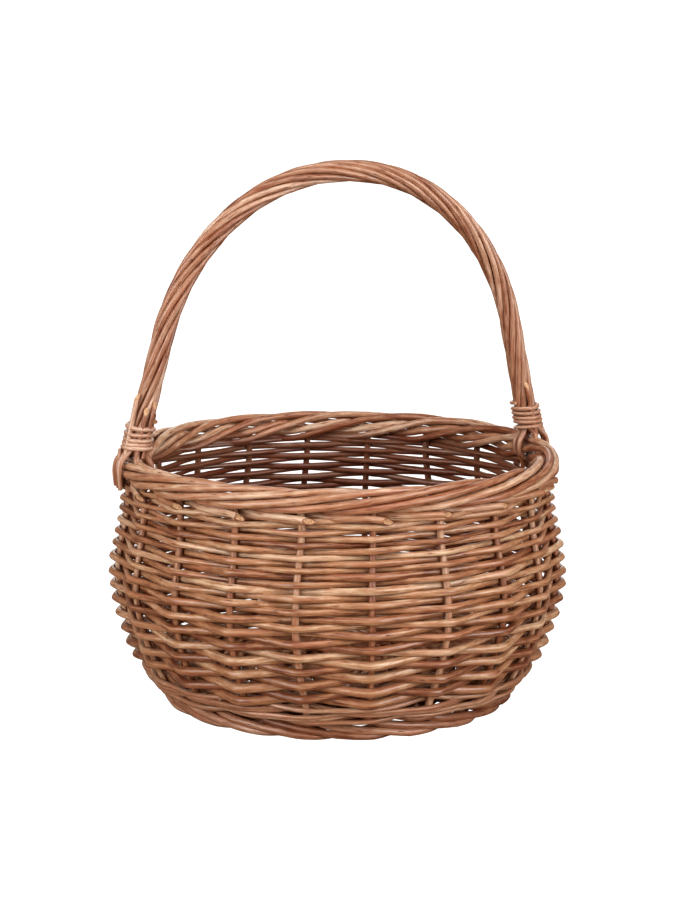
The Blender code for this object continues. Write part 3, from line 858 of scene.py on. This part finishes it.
def splayed_foot(neck, side):
    """How a strand goes on below its neck: outside the border, inside it, or down into it."""
    place, thickness = neck
    out = side * place.x - HANDLE_SPREAD
    if out > 0.0025:
        way = ((0.1464, 1.2, 0.1728), (0.1500, 1.5, 0.1684), (0.1514, 1.7, 0.1610),
               (0.1508, 1.7, 0.1510))
    elif out < -0.0025:
        way = ((0.1330, 1.4, 0.1716), (0.1298, 1.8, 0.1660), (0.1300, 2.0, 0.1590),
               (0.1345, 2.0, 0.1542))
    else:
        way = ((0.1395, 1.3, 0.1735), (0.1400, 1.5, 0.1712), (0.1402, 1.6, 0.1685),
               (0.1402, 1.6, 0.1650))
    widths = (0.95, 0.9, 0.8, 0.65)
    foot = [(Vector((side * radius, place.y * spread, height)), thickness * width)
            for (radius, spread, height), width in zip(way, widths)]
    return list(reversed(foot))


def make_lashings():
    """A thin rod bound around each neck; its tail hangs down outside the border."""
    for side, name in ((-1, "left"), (1, "right")):
        offset = ROPE_RADIUS / math.cos(LEG_LEAN) + LASHING_D / 2
        pitch = LASHING_D * 1.06
        up = Vector((-side * math.tan(LEG_LEAN), 0.0, 1.0))
        foot = Vector((side * HANDLE_SPREAD, 0.0, NECK_LEVEL)) + up * (LASHING_START - NECK_LEVEL)
        line = []
        outside = side * (BORDER_OUTSIDE + LASHING_D / 2)
        tail = [(Vector((outside, -0.001, BORDER_TOP - 0.020)), LASHING_D),
                (Vector((outside, -0.0005, BORDER_TOP - 0.008)), LASHING_D),
                (Vector((outside, 0.0, BORDER_TOP)), LASHING_D)]
        for step in range(round(LASHING_POINTS * LASHING_TURNS) + 1):
            round_number = step / LASHING_POINTS
            turn = 2 * math.pi * round_number
            reach = offset + 0.0014 * max(0.0, 1.0 - round_number)
            around = Vector((side * math.cos(turn), math.sin(turn), 0.0))
            tilt = 0.0010 * math.cos(turn + 0.9) * max(0.0, 1.4 - round_number)
            tilt += wander(step * 0.06, 80 + side, 0.0009)
            level = up * (pitch * round_number + 0.0018 * max(0.0, round_number - 4.3) + tilt)
            width = LASHING_D * (1 + wander(step * 0.05, 60 + side, 0.2))
            line.append((foot + level + around * reach, width))
        rods = [bend_rod(smooth(tail + line[1:], 0.0030), 660 + side)]
        rods += strand_tips(side, foot, up)
        finish_piece(f"willow_lashing_{name}", rods, lashing_skin, "handle_lashing",
                     f"handle_lashing_{name}")


def strand_tips(side, foot, up):
    """Cut ends of the rods that were laid in under a lashing and stand up above it."""
    rods = []
    tips = ((-150, 0.036, 0.0034), (-62, 0.031, 0.0030), (-96, 0.027, 0.0030), (20, 0.024, 0.0030))
    for number, (turn, height, thickness) in enumerate(tips if side < 0 else tips[1:2]):
        angle = math.radians(turn if side < 0 else turn - 20)
        around = Vector((math.cos(angle), math.sin(angle), 0.0))
        out = ROPE_RADIUS + thickness * 0.35
        line = []
        for step in range(6):
            share = step / 5
            level = mix(-0.004, height, share)
            line.append((foot + up * level + around * (out + 0.0006 * share), thickness))
        rods.append(bend_rod(line, 680 + number + side, cut_end=around, sides=8))
    return rods


make_split_sticks()
make_thin_sticks()
make_base_weavers()
make_stakes()
make_wale()
make_weavers()
make_foot()
make_handle_core()
make_strands()
make_lashings()


# --- studio -----------------------------------------------------------------------------------
def make_floor():
    bpy.ops.object.select_all(action="DESELECT")
    bpy.ops.mesh.primitive_plane_add(size=16.0, location=(0.0, 0.0, 0.0))
    floor = bpy.context.object
    floor.name = "studio_floor"
    material = bpy.data.materials.new("studio_white")
    material.use_nodes = True
    nodes, links = material.node_tree.nodes, material.node_tree.links
    shader = nodes["Principled BSDF"]
    shader.inputs["Base Color"].default_value = (0.38, 0.31, 0.25, 1.0)
    shader.inputs["Roughness"].default_value = 0.9
    shader.inputs["Specular IOR Level"].default_value = 0.1
    glow = nodes.new("ShaderNodeEmission")
    glow.inputs["Color"].default_value = (1.0, 1.0, 1.0, 1.0)
    glow.inputs["Strength"].default_value = 1.10
    path = nodes.new("ShaderNodeLightPath")
    share = nodes.new("ShaderNodeMath")
    share.operation = "MULTIPLY"
    share.inputs[1].default_value = 0.93
    mixer = nodes.new("ShaderNodeMixShader")
    links.new(path.outputs["Is Camera Ray"], share.inputs[0])
    links.new(share.outputs[0], mixer.inputs[0])
    links.new(shader.outputs[0], mixer.inputs[1])
    links.new(glow.outputs[0], mixer.inputs[2])
    links.new(mixer.outputs[0], nodes["Material Output"].inputs["Surface"])
    floor.data.materials.append(material)


def make_world():
    world = bpy.data.worlds.new("studio_air")
    bpy.context.scene.world = world
    world.use_nodes = True
    nodes, links = world.node_tree.nodes, world.node_tree.links
    nodes.clear()
    seen, light = nodes.new("ShaderNodeBackground"), nodes.new("ShaderNodeBackground")
    seen.inputs["Color"].default_value = (1.0, 1.0, 1.0, 1.0)
    light.inputs["Color"].default_value = (1.0, 0.84, 0.70, 1.0)
    sky = nodes.new("ShaderNodeTexCoord")
    split = nodes.new("ShaderNodeSeparateXYZ")
    fade = nodes.new("ShaderNodeMapRange")
    fade.inputs["To Min"].default_value = 0.60
    fade.inputs["To Max"].default_value = 0.08
    links.new(sky.outputs["Generated"], split.inputs[0])
    links.new(split.outputs["Z"], fade.inputs["Value"])
    links.new(fade.outputs[0], light.inputs["Strength"])
    path = nodes.new("ShaderNodeLightPath")
    mixer, output = nodes.new("ShaderNodeMixShader"), nodes.new("ShaderNodeOutputWorld")
    links.new(path.outputs["Is Camera Ray"], mixer.inputs[0])
    links.new(light.outputs[0], mixer.inputs[1])
    links.new(seen.outputs[0], mixer.inputs[2])
    links.new(mixer.outputs[0], output.inputs["Surface"])


def soft_light(name, place, size, power):
    """A square lamp that looks at the basket's middle."""
    lamp = bpy.data.lights.new(name, "AREA")
    lamp.shape, lamp.size, lamp.energy = "SQUARE", size, power
    lamp.color = (1.0, 1.0, 1.0)
    holder = bpy.data.objects.new(name, lamp)
    holder.location = place
    towards = Vector((0, 0, 0.12)) - Vector(place)
    holder.rotation_euler = towards.to_track_quat("-Z", "Y").to_euler()
    holder.visible_camera = False
    bpy.context.scene.collection.objects.link(holder)


VIEW_TURN = math.radians(18.0)
VIEW_DISTANCE = 1.600
VIEW_HEIGHT = 0.4697
VIEW_TILT = math.radians(10.71)


def make_camera():
    lens = bpy.data.cameras.new("camera")
    lens.sensor_fit = "VERTICAL"
    lens.sensor_height = 24.0
    lens.lens = 64.68
    lens.clip_end = 50.0
    camera = bpy.data.objects.new("camera", lens)
    camera.location = (-VIEW_DISTANCE * math.sin(VIEW_TURN), -VIEW_DISTANCE * math.cos(VIEW_TURN),
                       VIEW_HEIGHT)
    camera.rotation_euler = (math.pi / 2 - VIEW_TILT, 0.0, -VIEW_TURN)
    bpy.context.scene.collection.objects.link(camera)
    bpy.context.scene.camera = camera


def from_camera(turn, rise, distance):
    """A place around the basket: turn is in degrees to the right of the camera."""
    angle = -math.pi / 2 - VIEW_TURN + math.radians(turn)
    flat = distance * math.cos(math.radians(rise))
    return (flat * math.cos(angle), flat * math.sin(angle), distance * math.sin(math.radians(rise)))


make_floor()
make_world()
soft_light("key_left", from_camera(-45, 22, 2.0), 1.0, 19.0)
soft_light("fill_right", from_camera(50, 20, 2.0), 1.0, 20.0)
soft_light("top_light", from_camera(10, 66, 1.9), 0.7, 10.0)
soft_light("back_light", from_camera(180, 14, 2.0), 1.0, 7.0)
make_camera()
bpy.context.scene.view_settings.view_transform = "Standard"
bpy.context.scene.view_settings.look = "Medium High Contrast"
